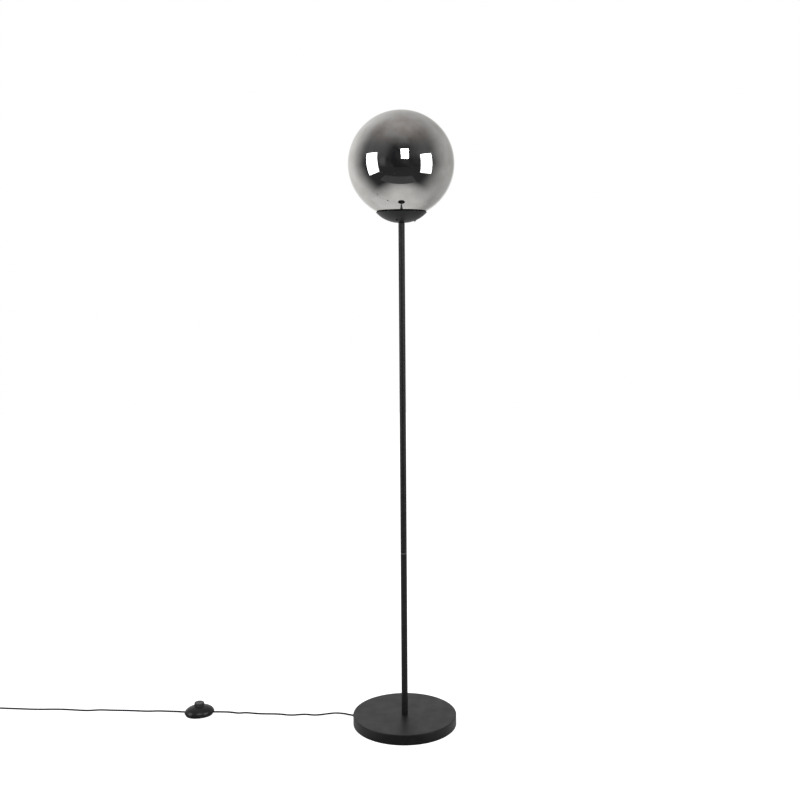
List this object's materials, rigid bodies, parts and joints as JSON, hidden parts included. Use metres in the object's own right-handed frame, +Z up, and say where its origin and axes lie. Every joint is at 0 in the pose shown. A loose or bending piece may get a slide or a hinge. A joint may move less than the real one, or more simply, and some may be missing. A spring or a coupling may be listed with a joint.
{
  "type": "globe floor lamp",
  "caption": "Floor lamp with a smoked glass globe in a shallow cup on a thin round pole, weighted disc base, flat cord with foot switch and flat plug.",
  "frame": {"origin": "centre of the base's underside, on the floor", "axes": "+Z up along the pole, -Y towards the viewer, +X to the viewer's right; the cord leaves the base towards -X"},
  "size_m": [1.2378, 0.25, 1.4706],
  "materials": {
    "black_enamel": "smooth black stove enamel, satin gloss",
    "plain_steel": "zinc-plated steel, dull bright",
    "grey_iron": "as cast, oiled",
    "black_screw": "black-oxide steel screw",
    "foam_pad": "black foam sheet",
    "silicone": "translucent grey silicone",
    "smoked_glass": "blown smoked glass, polished, mirror-like above",
    "spring_strip": "spring steel strip",
    "black_resin": "moulded phenolic resin",
    "steatite": "unglazed steatite",
    "bare_brass": "rolled brass",
    "nickel_shell": "nickel-plated cap",
    "black_glass": "black glass insulator",
    "clear_glass": "clear bulb glass",
    "phosphor": "yellow phosphor coat on the filament",
    "lead_wire": "nickel wire",
    "cord_pvc": "black flat twin PVC cord",
    "switch_plastic": "moulded black ABS, satin",
    "button_plastic": "moulded black ABS",
    "soft_plastic": "soft black PVC moulding",
    "plug_plastic": "black moulded plug",
    "nickel_pin": "nickel-plated brass pins",
    "fibre": "moulded contact block"
  },
  "bodies": {
    "lamp": {"base_cover": "black_enamel", "ballast_weight": "grey_iron", "base_bottom_plate": "plain_steel", "base_plate_screws": "plain_steel", "base_pad": "foam_pad", "foot_washer": "plain_steel", "foot_nut": "plain_steel", "foot_nipple": "plain_steel", "base_cord_bushing": "soft_plastic", "base_cord_clamp": "black_resin", "base_cord_clamp_screws": "plain_steel", "pole_lower": "black_enamel", "pole_middle": "black_enamel", "pole_upper": "black_enamel", "pole_inserts": "plain_steel", "pole_joining_nipples": "plain_steel", "cup": "black_enamel", "cup_screws": "black_screw", "cup_washer": "plain_steel", "cup_nut": "plain_steel", "top_nipple": "plain_steel", "holder_pillars": "plain_steel", "globe_holder_plate": "plain_steel", "globe_clips": "spring_strip", "clip_rivets": "plain_steel", "globe_gasket": "silicone", "lampholder_cap": "black_resin", "lampholder_skirt": "black_resin", "lampholder_core": "steatite", "lampholder_sleeve": "bare_brass", "lampholder_contact": "bare_brass", "supply_cord_inside": "cord_pvc", "cord_base_to_switch": "cord_pvc", "switch_lower_shell": "switch_plastic", "switch_upper_shell": "switch_plastic", "switch_case_screws": "plain_steel", "switch_block": "fibre", "switch_cord_clamps": "fibre", "switch_clamp_screws": "plain_steel", "switch_spring": "spring_strip", "cord_switch_to_coil": "cord_pvc", "cord_coil": "cord_pvc", "cord_coil_to_plug": "cord_pvc", "plug_strain_relief": "soft_plastic", "plug_body": "plug_plastic", "plug_pins": "nickel_pin"},
    "globe": {"globe_glass": "smoked_glass"},
    "bulb": {"bulb_cap": "nickel_shell", "bulb_insulator": "black_glass", "bulb_glass": "clear_glass", "bulb_stem": "clear_glass", "bulb_filaments": "phosphor", "bulb_support_wires": "lead_wire"},
    "button": {"switch_button": "button_plastic"}
  },
  "joints": [
    {"name": "globe_lift", "type": "slide", "parent": "lamp", "child": "globe", "axis": [0, 0, 1], "range_m": [0, 0.15]},
    {"name": "bulb_unscrew", "type": "hinge", "parent": "lamp", "child": "bulb", "pos_m": [0, 0, 1.27], "axis": [0, 0, 1], "range_deg": [0, 900]},
    {"name": "button_press", "type": "slide", "parent": "lamp", "child": "button", "axis": [0, 0, -1], "range_m": [0, 0.0035], "stiffness_N_per_m": 400, "springref_m": -0.003, "deforming": ["switch_spring"]}
  ]
}
